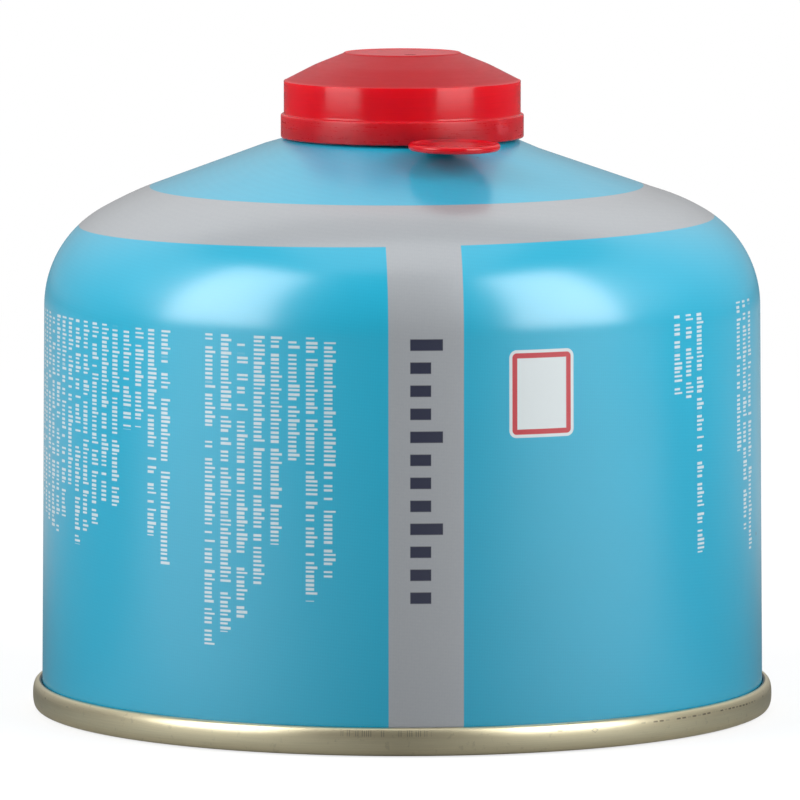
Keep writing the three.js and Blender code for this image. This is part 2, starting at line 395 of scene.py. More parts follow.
# rows of plain broken strokes from left to right, each with its length down the wall
lineBlocks = [
    {"start": -84.2, "top": 60, "seed": 11.3,
     "rows": (28, 30, 31, 32, 32, 29.5, 24.5, 33, 31, 29.5, 26, 26.5, 15, 14.5, 30, 34)},
    {"start": -32.7, "top": 60, "seed": 3.7, "rows": (45, 43, 41, 36, 30, 18, 38, 34.5)},
    {"start": 47.2, "top": 61.6, "seed": 23.1, "rows": (11.5, 12.5, 35)},
    {"start": 66.4, "top": 62.2, "seed": 31.9, "rows": (22, 34, 37)},
]


def brokenLines(make, turn, z, wallRadius):
    marks = None
    pitch = math.degrees(printPlan["linePitch"] / wallRadius)
    for block in lineBlocks:
        line = (turn - block["start"]) / pitch
        row = line.floor()
        across = line.fract()
        along = block["top"] - z
        count = len(block["rows"])
        longest = printPlan["longestRow"]
        steps = [(i / count, [length / longest] * 3 + [1]) for i, length in enumerate(block["rows"])]
        reach = make.add("ShaderNodeValToRGB", {"stops": steps}, {"Fac": (row + 0.5) / count}) * longest
        cell = along / printPlan["strokePitch"]
        key = cell.floor() * 1.37 + row * 17.3
        word = make.random(key, block["seed"]).past(0.13, 0.01)
        tall = make.random(key, block["seed"] + 5.1).past(0.72, 0.01) * 0.18
        stroke = cell.fract().within(0.14, make.random(key, block["seed"] + 9.4) * 0.3 + 0.52, 0.16)
        body = across.past(0.2, 0.05) * (1 - (across - tall).past(0.66, 0.05))
        rows = line.past(0, 0.01) * (1 - line.past(count, 0.01))
        mark = body * stroke * word * rows * along.past(0) * (1 - (along - reach).past(0))
        marks = mark if marks is None else marks.high(mark)
    return marks


def scaleTicks(turn, z, wallRadius):
    arcLength = (turn - printPlan["tickTurn"]) * math.radians(wallRadius)
    step = (printPlan["tickTop"] - z) / printPlan["tickPitch"]
    short = (step.floor() % printPlan["longTickEvery"]).past(0.5, 0.1) * printPlan["tickShort"]
    bar = step.fract().within(0.06, 0.56, 0.04)
    length = arcLength.past(-printPlan["tickHalf"]) * (1 - (arcLength + short).past(printPlan["tickHalf"]))
    return bar * length * z.within(printPlan["tickFoot"], printPlan["tickTop"])


# distance in millimetres from the edge of the plain panel, less than 0 inside it
def panelEdge(turn, z, wallRadius):
    corner = printPlan["panelCorner"]
    half = printPlan["panelHalf"]
    across = ((turn - printPlan["panelTurn"]) * math.radians(wallRadius)).abs() - (half[0] - corner)
    up = (z - printPlan["panelHeight"]).abs() - (half[1] - corner)
    outside = (across.high(0) * across.high(0) + up.high(0) * up.high(0)).math("SQRT")
    return outside + across.high(up).low(0) - corner


def printedLacquer():
    shine = {"Coat Weight": 1.0, "Coat Roughness": 0.24, "Coat IOR": 1.78, "Specular IOR Level": 0.25}
    finish, make, shader, place, (x, y, z) = newFinish("printedLacquer", shine)
    turn, radius = around(make, x, y)
    wallRadius = printPlan["wallRadius"]
    middle = printPlan["bandMiddle"]
    ring = ((x - middle[0]) * (x - middle[0]) + (y - middle[1]) * (y - middle[1])).math("SQRT")
    band = ring.within(printPlan["bandInner"], printPlan["bandOuter"])
    offStripe = ((turn - printPlan["stripeTurn"]) * radius * math.radians(1)).abs()
    stripe = 1 - offStripe.past(printPlan["stripeHalf"])
    silver = band.high(stripe * ring.past(printPlan["bandOuter"] - 1))
    cloud = make.noise(place, 22, 3)
    grain = make.noise(place, 2600, 2, 0.6)
    screen = ((turn * 8.2 + z * 6.1).math("SINE") * (turn * 7.4 - z * 6.6).math("SINE")) * 0.5 + 0.5
    # painted shade: the blue lacquer and its silver are painted darker towards the foot of the wall
    paintedFootShade = (1 - z * (1 / printPlan["footShadeHeight"])).high(0) * 0.42
    ink = make.mix(cloud * 0.3 + screen * 0.14 + paintedFootShade, printPlan["blue"], printPlan["deepBlueAndShade"])
    metalGrainAndShade = grain * 0.3 + screen * 0.1 + paintedFootShade * 0.5
    metalInk = make.mix(metalGrainAndShade, printPlan["silver"], printPlan["deepSilverAndShade"])
    colour = make.mix(silver, ink, metalInk)
    onWall = 1 - z.past(printPlan["wallEnd"], 0.1)
    lines = brokenLines(make, turn, z, wallRadius) * (1 - silver)
    panel = panelEdge(turn, z, wallRadius)
    inPanel = 1 - panel.past(0)
    framing = panel.within(-printPlan["panelFrame"] - printPlan["panelMargin"], -printPlan["panelMargin"])
    ticks = scaleTicks(turn, z, wallRadius) * onWall
    colour = make.mix(lines * (grain * 0.3 + 0.68), colour, printPlan["white"])
    colour = make.mix(ticks, colour, printPlan["navy"])
    colour = make.mix(inPanel, colour, printPlan["white"])
    colour = make.mix(framing, colour, printPlan["red"])
    # one small speck in some of the cells
    cells = {"Vector": place, "Scale": printPlan["speckScale"], "Randomness": 1}
    specks = make.add("ShaderNodeTexVoronoi", {}, cells, "Distance")
    keep = make.add("ShaderNodeTexVoronoi", {}, cells, "Color")
    tint = make.add("ShaderNodeSeparateColor", {}, {"Color": keep}, "Red")
    dirt = (1 - specks.past(printPlan["speckRadius"], 0.012)) * tint.past(0.72, 0.02)
    colour = make.mix(dirt * 0.75, colour, printPlan["inkStain"])
    opaque = lines.high(inPanel).high(ticks)
    rub = make.noise(make.stretch(place, (1, 1, 0.25)), 160, 4, 0.65)
    dress(make, shader, {
        "Base Color": colour,
        "Metallic": (silver * 0.24 + 0.05) * (1 - opaque),
        "Roughness": rub * 0.1 + grain * 0.05 + 0.36,
        "Normal": bump(make, grain * 0.4 + make.noise(place, 420, 2) * 0.6, 0.12, 0.05),
    })
    return finish


seamWear = {
    "outerRadius": 55,
    "sideFrom": 54.2,
    "grooveFrom": 3.4,
    "grooveRadius": 54.05,
    "dashHeight": 3.05,
    "dashHalf": 0.1,
    "dashPitch": 1.25,  # degrees
    "dashFrom": 40,
    "dashTo": 70,
    "hatchFrom": -9,
    "hatchTo": 4,
    "hatchFoot": 2.9,
    "hatchTop": 3.75,
    "hatchesPerDegree": 3.1,
    "dent": (30.3, 2.8, 0.55, 0.34),  # a small diamond-shaped scuff: turn, height, half width and height
}


def goldTinplate():
    finish, make, shader, place, (x, y, z) = newFinish("goldTinplate", {"Metallic": 1.0})
    turn, radius = around(make, x, y)
    drawn = make.add("ShaderNodeCombineXYZ", {}, {"X": turn * 0.012, "Y": radius * 0.8, "Z": z * 0.8})
    streaks = make.noise(drawn, 9, 4, 0.55)
    dust = make.noise(place, 900, 3, 0.6)
    colour = make.mix(streaks * 0.7, tone(236, 226, 192), tone(198, 188, 156))
    # a broken dark rub line along the right side, fainter all round
    cell = turn / seamWear["dashPitch"]
    present = make.random(cell.floor(), 2.9)
    length = cell.fract().within(0.12, 0.82, 0.2)
    strong = turn.within(seamWear["dashFrom"], seamWear["dashTo"], 6)
    wander = make.noise(make.stretch(place, (1, 1, 0)), 60, 2) - 0.5
    offLine = (z - seamWear["dashHeight"] - wander * 0.5).abs()
    onSide = radius.past(seamWear["sideFrom"], 0.1)
    dash = (1 - offLine.past(seamWear["dashHalf"], 0.12)) * length * onSide
    dash = dash * (present.past(0.3, 0.3) * strong).high(present.past(0.94, 0.03) * 0.4)
    dentTurn, dentHeight, dentHalf, dentTall = seamWear["dent"]
    dentTurned = (turn - dentTurn) * math.radians(seamWear["outerRadius"] / dentHalf)
    dentSide = dentTurned.abs() + ((z - dentHeight) / dentTall).abs()
    dent = dentSide.within(0.7, 1.15, 0.25) * onSide
    hatchTurn = turn * seamWear["hatchesPerDegree"]
    hatch = make.random(hatchTurn.floor(), 7.7).past(0.45, 0.1) * hatchTurn.fract().within(0.3, 0.6, 0.15)
    hatch = hatch * turn.within(seamWear["hatchFrom"], seamWear["hatchTo"], 2)
    hatch = hatch * z.within(seamWear["hatchFoot"], seamWear["hatchTop"], 0.2) * onSide
    colour = make.mix(hatch * 0.55, colour, tone(84, 78, 66))
    colour = make.mix(dust.past(0.66, 0.1) * 0.16, colour, tone(96, 90, 74))
    # painted shade: a dark line in the groove where the seam meets the wall
    grooveShade = z.past(seamWear["grooveFrom"], 0.2) * (1 - radius.past(seamWear["grooveRadius"], 0.16))
    colour = make.mix(grooveShade, colour, tone(62, 60, 56))
    colour = make.mix(dent * 0.45, colour, tone(104, 98, 84))
    colour = make.mix(dash * 0.85, colour, tone(58, 44, 36))
    dress(make, shader, {
        "Base Color": colour,
        "Roughness": streaks * 0.14 + dust * 0.06 + 0.24 + dash * 0.3,
        "Normal": bump(make, streaks * 0.5 + dust * 0.08 - (dash + hatch + dent) * 0.6, 0.2, 0.04),
    })
    return finish


capLook = {
    "red": tone(200, 6, 24),
    "deepRedAndShade": tone(154, 8, 20),
    "roofShadeRed": tone(140, 8, 18),
    "darkRed": tone(112, 8, 22),
    "scuffAndSheen": tone(226, 120, 130),
    "gate": (1.2, -4.4),  # the mark of the mould's gate, off the middle of the dish
    "gateRadius": 0.9,
    "dishAboveRim": 3,
    "dishRadius": 8.5,
    "bandRadius": 18.2,
    "patchesBelowStep": 1.7,
}


def capPolyethylene(bandTop, rimTop):
    shine = {"Subsurface Weight": 0.7, "Subsurface Radius": (1.0, 0.14, 0.1), "Subsurface Scale": 3.5 * mm,
             "Specular IOR Level": 0.45}
    finish, make, shader, place, (x, y, z) = newFinish("capPolyethylene", shine)
    turn, radius = around(make, x, y)
    drawn = make.add("ShaderNodeCombineXYZ", {}, {"X": turn * 0.012, "Y": radius * 0.12, "Z": z * 0.9})
    flow = make.noise(drawn, 4, 4, 0.62)
    mottle = make.noise(place, 190, 3, 0.55)
    fine = make.noise(place, 1500, 2)
    low = 1 - z.past(bandTop, 0.3)
    roof = z.past(rimTop, 0.5)
    dish = z.past(rimTop + capLook["dishAboveRim"], 0.2) * (1 - radius.past(capLook["dishRadius"], 0.2))
    across = (x - capLook["gate"][0]) * (x - capLook["gate"][0])
    along = (y - capLook["gate"][1]) * (y - capLook["gate"][1])
    gate = (1 - (across + along).math("SQRT").past(capLook["gateRadius"], 0.12)) * dish
    colour = make.mix(flow * 0.55, capLook["red"], capLook["deepRedAndShade"])
    # painted shade: the lower band is painted a deeper red than the upper one, with a mottle in it
    colour = make.mix(low * (0.45 + mottle * 0.3), colour, capLook["deepRedAndShade"])
    # painted shade: the cone and top are painted a darker red than the band, the dish less so
    colour = make.mix(roof * 0.8 * (1 - dish * 0.4), colour, capLook["roofShadeRed"])
    onBand = low * (1 - radius.past(capLook["bandRadius"], 0.2))
    patchEnd = 1 - z.past(bandTop - capLook["patchesBelowStep"], 1.6)
    # darker red patches in the lower part of the band
    darkPatches = make.noise(place, 130, 4, 0.65).past(0.5, 0.4) * onBand * patchEnd
    colour = make.mix(darkPatches * 0.5, colour, capLook["darkRed"])
    # pale whitening in mottled spots on the band, and a painted sheen on the dish
    whiteningAndSheen = (mottle.past(0.66, 0.14) * onBand * 0.18).high(dish * 0.08)
    colour = make.mix(whiteningAndSheen, colour, capLook["scuffAndSheen"])
    colour = make.mix(gate * 0.8, colour, capLook["darkRed"])
    rough = 0.08 + flow * 0.13 + roof * 0.26 - dish * 0.08 + onBand * 0.12 + fine * 0.05 + gate * 0.2
    relief = (flow * (0.6 - low * 0.48) + fine * 0.06) * (1 - dish * 0.8) + gate * 2
    dress(make, shader, {
        "Base Color": colour,
        "Roughness": rough,
        "Normal": bump(make, relief, 0.16, 0.05),
    })
    return finish


def stampedTinplate():
    finish, make, shader, place, (x, y, z) = newFinish("stampedTinplate", {"Metallic": 1.0})
    turn, radius = around(make, x, y)
    drawn = make.add("ShaderNodeCombineXYZ", {}, {"X": turn * 0.03, "Y": radius, "Z": z})
    streaks = make.noise(drawn, 3, 4, 0.6)
    dust = make.noise(place, 1400, 3, 0.6)
    colour = make.mix(streaks * 0.6, tone(205, 203, 192), tone(168, 165, 152))
    dress(make, shader, {
        "Base Color": make.mix(dust.past(0.63, 0.1) * 0.25, colour, tone(120, 116, 104)),
        "Roughness": 0.2 + streaks * 0.18 + dust * 0.06,
        "Normal": bump(make, streaks * 0.7 + dust * 0.1, 0.2, 0.03),
    })
    return finish


# rubber, nylon, brass and wire: a base colour, a second one in soft clouds, and a fine surface
def plainFinish(name, colours, metallic, roughness, scale, depth):
    finish, make, shader, place, _ = newFinish(name, {"Metallic": metallic})
    cloud = make.noise(place, scale, 3, 0.6)
    fine = make.noise(place, scale * 6, 2)
    dress(make, shader, {
        "Base Color": make.mix(cloud, tone(*colours[0]), tone(*colours[1])),
        "Roughness": roughness + cloud * 0.12,
        "Normal": bump(make, cloud * 0.4 + fine * 0.6, 0.25, depth),
    })
    return finish


# Sizes of the pieces, in millimetres. Heights that the frame knows are read from it.

def top(node):
    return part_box(node)[1].z / mm


def foot(node):
    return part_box(node)[0].z / mm


canSize = {
    "wallFoot": 53.6,
    "wallTop": 53.1,
    "wallShows": 3.9,  # above the seam
    "shoulderStart": 59.9,
    "shoulderBend": 16.1,
    "shoulderSlope": 29.9,
    "crownBend": 39.4,
    "domeSlope": 19.7,
    "skirt": 0.55,
    "skirtFoot": 1.5,
    "baseRise": 8.0,
    "baseDish": 2,
    "baseFlat": 8,
    "neckBore": 12.7,
    "curlBend": 1.2,
    "curlRise": 1.1,
    "pocketRadius": 13.4,
    "pocketBelow": 1.1,
    "pocketDepth": 2.2,
    "lean": 0.42,  # the dome stands a little higher on its left
    "leanFrom": 60,
    "leanInner": (15, 20),
    "leanOuter": (33, 44),
    "sides": 288,
}


def shoulderMiddle():
    return (canSize["wallTop"] - canSize["shoulderBend"], canSize["shoulderStart"])


def crownMiddle():
    slope = math.radians(canSize["shoulderSlope"])
    reach = canSize["shoulderBend"] - canSize["crownBend"]
    middle = shoulderMiddle()
    return (middle[0] + reach * math.sin(slope), middle[1] + reach * math.cos(slope))


def coneHeight(radius):
    slope = math.radians(canSize["domeSlope"])
    middle = crownMiddle()
    bend = canSize["crownBend"]
    start = (middle[0] + bend * math.sin(slope), middle[1] + bend * math.cos(slope))
    return start[1] + (start[0] - radius) * math.tan(slope)


curlRadius = canSize["neckBore"] + canSize["curlBend"]
curlMiddle = (curlRadius, coneHeight(curlRadius) + canSize["curlRise"])


def buildCan():
    underside = foot("can_body") + canSize["baseRise"]
    inner = canSize["wallFoot"] - canSize["skirt"]
    baseEdge = inner - canSize["baseFlat"]
    neckFoot = curlMiddle[0] + canSize["curlBend"] * math.cos(math.radians(-50))
    slopes = (90 - canSize["shoulderSlope"], 90 - canSize["domeSlope"])
    neckEdge = neckFoot + 6
    bore = canSize["neckBore"]
    pocket = canSize["pocketRadius"]
    pocketTop = coneHeight(pocket) - canSize["pocketBelow"]
    pocketFloor = pocketTop - canSize["pocketDepth"]
    outline = [(0, underside + canSize["baseDish"]), (baseEdge, underside)]
    outline += rounded([
        (baseEdge, underside),
        (inner, underside - 1, 0.8),
        (inner, canSize["skirtFoot"]),
    ])[1:]
    outline += [(canSize["wallFoot"], canSize["skirtFoot"]), (canSize["wallFoot"], canSize["wallShows"])]
    outline += arc(shoulderMiddle(), canSize["shoulderBend"], 0, slopes[0], 26)
    outline += arc(crownMiddle(), canSize["crownBend"], slopes[0], slopes[1], 10)[1:]
    outline += rounded([
        (neckEdge, coneHeight(neckEdge)),
        (neckFoot, coneHeight(neckFoot), 0.3),
        (neckFoot, curlMiddle[1] - 0.9),
    ])
    outline += arc(curlMiddle, canSize["curlBend"], -50, 180, 22)
    outline += rounded([
        (bore, curlMiddle[1] - 0.1),
        (bore, pocketTop + 0.4, 0.4),
        (pocket, pocketTop, 0.3),
        (pocket, pocketFloor),
    ])
    outline += [(0, pocketFloor)]
    can = turned("printed_can", outline, canSize["sides"], printedLacquer())
    for vertex in can.data.vertices:
        radius = max(0.001, math.hypot(vertex.co.x, vertex.co.y) / mm)
        share = smooth(radius, *canSize["leanInner"]) * (1 - smooth(radius, *canSize["leanOuter"]))
        if vertex.co.z > canSize["leanFrom"] * mm:
            vertex.co.z -= canSize["lean"] * share * vertex.co.x / radius
    return can


def smooth(value, low, high):
    share = max(0, min(1, (value - low) / (high - low)))
    return share * share * (3 - 2 * share)


seamSize = {
    "radius": 55.0,
    "height": 4.1,
    "width": 2.6,
    "crest": 53.95,
    "outsideFull": 0.62,  # 1 is an ellipse, and less is fuller
    "outsideTall": 0.86,
    "outsideSteps": 32,
    "hookFoot": 1.3,
    "endRecess": 5.0,
    "endRise": 5.5,
    "endCorner": 1.8,
    "endThickness": 0.4,
    "sides": 288,
}


def endCurve(lift, steps):
    edge = seamSize["radius"] - seamSize["width"] - seamSize["endCorner"]
    rise = seamSize["endRise"]
    sphere = (edge * edge + rise * rise) / (2 * rise)
    points = []
    for i in range(steps + 1):
        radius = edge * i / steps
        drop = sphere - math.sqrt(sphere * sphere - radius * radius)
        points.append((radius, seamSize["endRecess"] + rise - drop + lift))
    return points


def buildEnd():
    size = seamSize
    inner = size["radius"] - size["width"]
    chuckWall = [
        (inner - size["endCorner"], size["endRecess"]),
        (inner, size["endRecess"] - 0.4 * size["endCorner"], 1.1),
        (inner, 0, 0.7),
        (size["crest"], 0),
    ]
    # the rolled outside is a little fuller than an ellipse
    outside = []
    for i in range(1, size["outsideSteps"] + 1):
        angle = math.radians(-90 + 180 * i / size["outsideSteps"])
        out = max(0, math.cos(angle)) ** size["outsideFull"] * (size["radius"] - size["crest"])
        up = abs(math.sin(angle)) ** size["outsideTall"] * math.copysign(size["height"] / 2, angle)
        outside.append((size["crest"] + out, size["height"] / 2 + up))
    clear = canSize["wallFoot"] + 0.1
    hook = canSize["wallFoot"] - canSize["skirt"] - 0.2
    inside = [
        outside[-1],
        (clear, size["height"] - 0.1, 0.15),
        (clear, size["hookFoot"]),
        (hook, size["hookFoot"]),
        (hook, size["endRecess"] - 1.4, 0.6),
        (inner - size["endCorner"], size["endRecess"] + size["endThickness"]),
    ]
    ring = rounded(chuckWall, 8) + outside[:-1] + rounded(inside, 6)
    outline = endCurve(0, 24)[:-1] + ring + endCurve(size["endThickness"], 24)[::-1][1:]
    return turned("seamed_end", outline, size["sides"], goldTinplate())


cupSize = {
    "thickness": 0.5,
    "curlInner": 1.75,
    "skirtAngle": 25,
    "crimpBulge": 0.7,
    "crimpDrop": 2.4,
    "crimpHalf": 0.8,
    "neckRadius": 5.55,
    "neckHeight": 11.5,
    "neckWall": 0.8,
    "mouthRadius": 2.75,
    "mouthPlate": 0.6,
    "threadPitch": 0.907,
    "threadDepth": 0.5,
    "threadFoot": 1.6,
    "threadChamfer": 0.5,
    "threadRunIn": 0.9,
    "threadRunOut": 0.7,
    "threadRows": 150,
    "sides": 180,
}


def buildValveCup():
    size = cupSize
    outer = size["curlInner"] + size["thickness"]
    floor = top("valve_cup") - size["neckHeight"]
    under = floor - size["thickness"]
    wall = curlMiddle[0] - size["curlInner"]
    inner = wall - size["thickness"]
    neckInner = size["neckRadius"] - size["neckWall"]
    neckTop = top("valve_cup")
    crimp = curlMiddle[1] - size["crimpDrop"]
    half = size["crimpHalf"]
    threadFoot = floor + size["threadFoot"]
    threadTop = neckTop - size["threadChamfer"]
    outline = rounded([
        (size["mouthRadius"], neckTop - size["mouthPlate"]),
        (neckInner, neckTop - size["mouthPlate"], 0.3),
        (neckInner, under, 0.7),
        (wall, under, 1.0),
        (wall + 0.1, crimp - half + 0.1, 0.4),
        (wall + size["crimpBulge"], crimp, 0.5),
        (wall, crimp + half, 0.4),
        (wall, curlMiddle[1]),
    ])
    outline += arc(curlMiddle, size["curlInner"], 180, -size["skirtAngle"], 28)[1:]
    outline += arc(curlMiddle, outer, -size["skirtAngle"], 180, 34)
    outline += rounded([
        (inner, curlMiddle[1] - 0.1),
        (inner, crimp + half, 0.4),
        (inner + size["crimpBulge"], crimp, 0.5),
        (inner + 0.1, crimp - half + 0.1, 0.4),
        (inner, floor, 0.9),
        (size["neckRadius"] - 0.1, floor, 0.8),
        (size["neckRadius"], threadFoot),
    ])
    # the thread needs a row of points at every small step of height
    for i in range(1, size["threadRows"]):
        height = threadFoot + (threadTop - threadFoot) * i / size["threadRows"]
        outline.append((size["neckRadius"], height))
    outline += rounded([
        (size["neckRadius"], threadTop),
        (size["neckRadius"] - size["threadChamfer"], neckTop, 0.3),
        (size["mouthRadius"], neckTop, 0.15),
        (size["mouthRadius"], neckTop - size["mouthPlate"]),
    ])

    def threaded(radius, height):
        if radius < size["neckRadius"] - 0.01:
            return 0.0
        rise = (height - threadFoot) / size["threadRunIn"]
        fall = (threadTop - height) / size["threadRunOut"]
        return max(0.0, min(1.0, rise, fall))

    return turned("crimped_cup", outline, size["sides"], stampedTinplate(),
                  threaded, size["threadPitch"], size["threadDepth"])


capSize = {
    "bandRadius": 18.0,
    "bandHeight": 3.45,
    "rimRadius": 17.55,
    "rimHeight": 4.95,
    "ledge": 0.15,
    "coneBend": (13.0, 0.25),
    "topRadius": 8.8,
    "topEdge": 0.2,
    "topDrop": 0.12,
    "dishRadius": 8.4,
    "dishDepth": 0.12,
    "wall": 1.2,
    "snapHeights": (0.9, 1.2, 1.8),  # the ridge inside that grips the can's curl
    "snapDepth": 0.5,
    "sides": 240,
}
tabSize = {
    "radius": 6.7,
    "thickness": 1.0,
    "rim": 0.7,
    "dish": 0.3,
    "reach": 24.6,
    "turn": 17.9,
    "neckWidth": 5.0,
    "neckThickness": 0.8,
    "droop": 1.7,  # degrees
    "sides": 128,
}
# the web's section, as shares of its half width and of its thickness
webSection = ((-1, 0.12), (-0.94, 0), (0.94, 0), (1, 0.12), (1, 0.85), (0.94, 1), (-0.94, 1), (-1, 0.85))


def buildCap(finish):
    size = capSize
    low = foot("cap")
    high = top("cap") - size["topDrop"]
    band = low + size["bandHeight"]
    rim = band + size["rimHeight"]
    bandInner = size["bandRadius"] - size["wall"]
    rimInner = size["rimRadius"] - size["wall"]
    coneFoot = size["rimRadius"] - size["ledge"]
    slope = (high - size["topEdge"] - rim) / (coneFoot - size["topRadius"])
    bendHeight = rim + slope * (coneFoot - size["coneBend"][0]) + size["coneBend"][1]
    drop = size["wall"] * math.hypot(1, slope)
    ceiling = high - size["dishDepth"] - size["wall"]
    ceilingRadius = size["topRadius"] + (high - drop - ceiling) / slope
    snapFoot, snapMiddle, snapTop = (low + height for height in size["snapHeights"])
    snapInner = bandInner - size["snapDepth"]
    outline = rounded([
        (0, ceiling),
        (ceilingRadius, ceiling, 0.8),
        (rimInner, rim - drop + size["wall"] * slope, 0.5),
        (rimInner, band, 0.3),
        (bandInner, band - 0.45, 0.3),
        (bandInner, snapTop, 0.3),
        (snapInner, snapMiddle, 0.3),
        (snapInner, snapFoot, 0.3),
        (bandInner, low + 0.3, 0.2),
        (bandInner, low, 0.15),
        (size["bandRadius"], low, 0.22),
        (size["bandRadius"], band - 0.02, 0.3),
        (size["rimRadius"] + 0.02, band + 0.06, 0.1),
        (size["rimRadius"], band + 0.3, 0.1),
        (size["rimRadius"], rim, 0.12),
        (coneFoot, rim + 0.02, 0.08),
        (size["coneBend"][0], bendHeight, 16.0),
        (size["topRadius"], high - size["topEdge"], 0.3),
        (size["topRadius"] - 0.25, high, 0.2),
        (size["dishRadius"], high, 0.1),
        (size["dishRadius"] - 0.25, high - size["dishDepth"], 0.2),
        (0, high - size["dishDepth"] + 0.06),
    ], 7)
    return turned("cap_shell", outline, size["sides"], finish)


def buildTab(finish):
    size = tabSize
    low = foot("cap")
    high = low + size["thickness"]
    outline = rounded([
        (0, low),
        (size["radius"], low, 0.46),
        (size["radius"], high, 0.48),
        (size["radius"] - size["rim"], high, 0.2),
        (size["radius"] - size["rim"] - size["dish"], high - size["dish"], 0.25),
        (0, high - size["dish"]),
    ], 6)
    tab = turned("lift_tab", outline, size["sides"], finish)
    mesh = tab.data
    for vertex in mesh.vertices:
        vertex.co.y -= size["reach"] * mm
    neck = bmesh.new()
    neck.from_mesh(mesh)
    addTabNeck(neck, size, low)
    neck.to_mesh(mesh)
    neck.free()
    for vertex in mesh.vertices:
        outward = max(0, -vertex.co.y - capSize["bandRadius"] * mm)
        vertex.co.z -= outward * math.tan(math.radians(size["droop"]))
    turnMesh(mesh, size["turn"])
    mesh.set_sharp_from_angle(angle=math.radians(38))
    return tab


# the short web between the band and the disc, flaring into both
def addTabNeck(shape, size, low):
    start = capSize["bandRadius"] - 0.5 * capSize["wall"]
    stop = size["reach"] - size["radius"] + 1.6 * size["rim"]
    steps = 12
    rings = []
    for i in range(steps + 1):
        share = i / steps
        reach = start + (stop - start) * share
        flare = (2 * share - 1) ** 2
        half = size["neckWidth"] / 2 * (0.82 + 0.4 * flare)
        tall = size["neckThickness"]
        section = []
        for side, lift in webSection:
            place = Vector((side * half, -reach, low + 0.05 + lift * tall)) * mm
            section.append(shape.verts.new(place))
        rings.append(section)
    for ring, following in zip(rings, rings[1:]):
        for k in range(len(ring)):
            n = (k + 1) % len(ring)
            shape.faces.new((ring[k], ring[n], following[n], following[k]))
    ends = [shape.faces.new(rings[0][::-1]), shape.faces.new(rings[-1])]
    web = set(ends)
    for section in rings:
        for vertex in section:
            web.update(vertex.link_faces)
    bmesh.ops.recalc_face_normals(shape, faces=list(web))
    for face in web:
        face.smooth = True


def turnMesh(mesh, degrees):
    angle = math.radians(degrees)
    for vertex in mesh.vertices:
        x, y = vertex.co.x, vertex.co.y
        vertex.co.x = x * math.cos(angle) - y * math.sin(angle)
        vertex.co.y = x * math.sin(angle) + y * math.cos(angle)


stemSize = {
    "foot": 1.5,
    "shank": 1.6,
    "collarTall": 1.2,
    "port": 0.7,
    "portFoot": 0.55,
    "portDepth": 0.35,
    "sides": 72,
}


def buildStem():
    low, high = foot("valve_stem"), top("valve_stem")
    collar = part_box("valve_stem")[1].x / mm
    seat = foot("stem_gasket")
    collarFoot = seat - stemSize["collarTall"]
    portFloor = high - stemSize["portDepth"]
    outline = rounded([
        (0, low),
        (stemSize["foot"], low, 0.25),
        (stemSize["foot"], collarFoot, 0.1),
        (collar, collarFoot, 0.2),
        (collar, seat, 0.1),
        (stemSize["shank"], seat, 0.1),
        (stemSize["shank"], high, 0.3),
        (stemSize["port"], high, 0.1),
        (stemSize["portFoot"], portFloor, 0.1),
        (0, portFloor),
    ])
    brass = plainFinish("stemBrass", ((214, 178, 102), (188, 150, 84)), 1.0, 0.22, 900, 0.02)
    return turned("pressed_stem", outline, stemSize["sides"], brass)


sealSize = {"bore": 1.9, "middle": 3.0, "sides": 96}


def buildStemGasket():
    low, high = foot("stem_gasket"), top("stem_gasket")
    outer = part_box("stem_gasket")[1].x / mm
    outline = rounded([
        (sealSize["middle"], low),
        (outer, low, 0.12),
        (outer, high, 0.12),
        (sealSize["bore"], high, 0.2),
        (sealSize["bore"], low, 0.2),
        (sealSize["middle"], low),
    ])
    rubber = plainFinish("stemRubber", ((34, 34, 35), (24, 24, 25)), 0.0, 0.5, 700, 0.03)
    return turned("stem_seal", outline, sealSize["sides"], rubber)


springSize = {"turns": 6.0, "radius": 2.3, "wire": 0.25}


def buildSpring():
    low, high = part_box("valve_spring")
    wire = plainFinish("springWire", ((196, 198, 200), (170, 172, 175)), 1.0, 0.2, 1200, 0.01)
    start = bpy.data.meshes.new("springStart")
    return runTree("stem_spring", start, springNodes, {
        "Turns": springSize["turns"],
        "Radius": springSize["radius"] * mm,
        "Wire": springSize["wire"] * mm,
        "Low": low.z + springSize["wire"] * mm,
        "High": high.z - springSize["wire"] * mm,
        "Finish": wire,
    })


# gives one of the frame's own solids a material, where its plain shape is right
def redress(node, finish):
    piece = frame["nodes"][node]
    piece.data.materials.clear()
    piece.data.materials.append(finish)


# Stage, lights and camera

stageLook = {
    "floorSize": 9.0,
    "floorDrop": 0.0002,
    "floorFront": 0.14,
    "floorSides": 0.54,
    "floorBehind": 0.36,
    "floorSeen": 0.8,
    "floorGlow": 0.74,
    "glowFrom": 0.12,
    "airFront": 0.12,
    "airBack": 0.35,
    "airTop": 0.66,
    "leftBox": {"turn": -60, "reach": 0.62, "low": 0.085, "high": 0.95, "width": 0.42, "power": 4.7},
    "rightBox": {"turn": 53, "reach": 0.62, "low": 0.085, "high": 0.9, "width": 0.42, "power": 4.7},
    "overhead": {"height": 1.1, "size": 0.8, "power": 1.4},
    "sideFill": {"turn": 76, "reach": 0.7, "low": 0.15, "high": 0.65, "width": 0.4, "power": 4.2},
    "backFill": {"turn": 180, "reach": 0.8, "low": 0.25, "high": 0.8, "width": 0.7, "power": 3.6},
}
# metres, degrees, and the focal length in pixels of a picture of that width
photoView = {
    "distance": 1.3166,
    "height": 0.1833,
    "pitch": 5.972,
    "yaw": 0.0145,
    "focal": 8910,
    "width": 800,
}


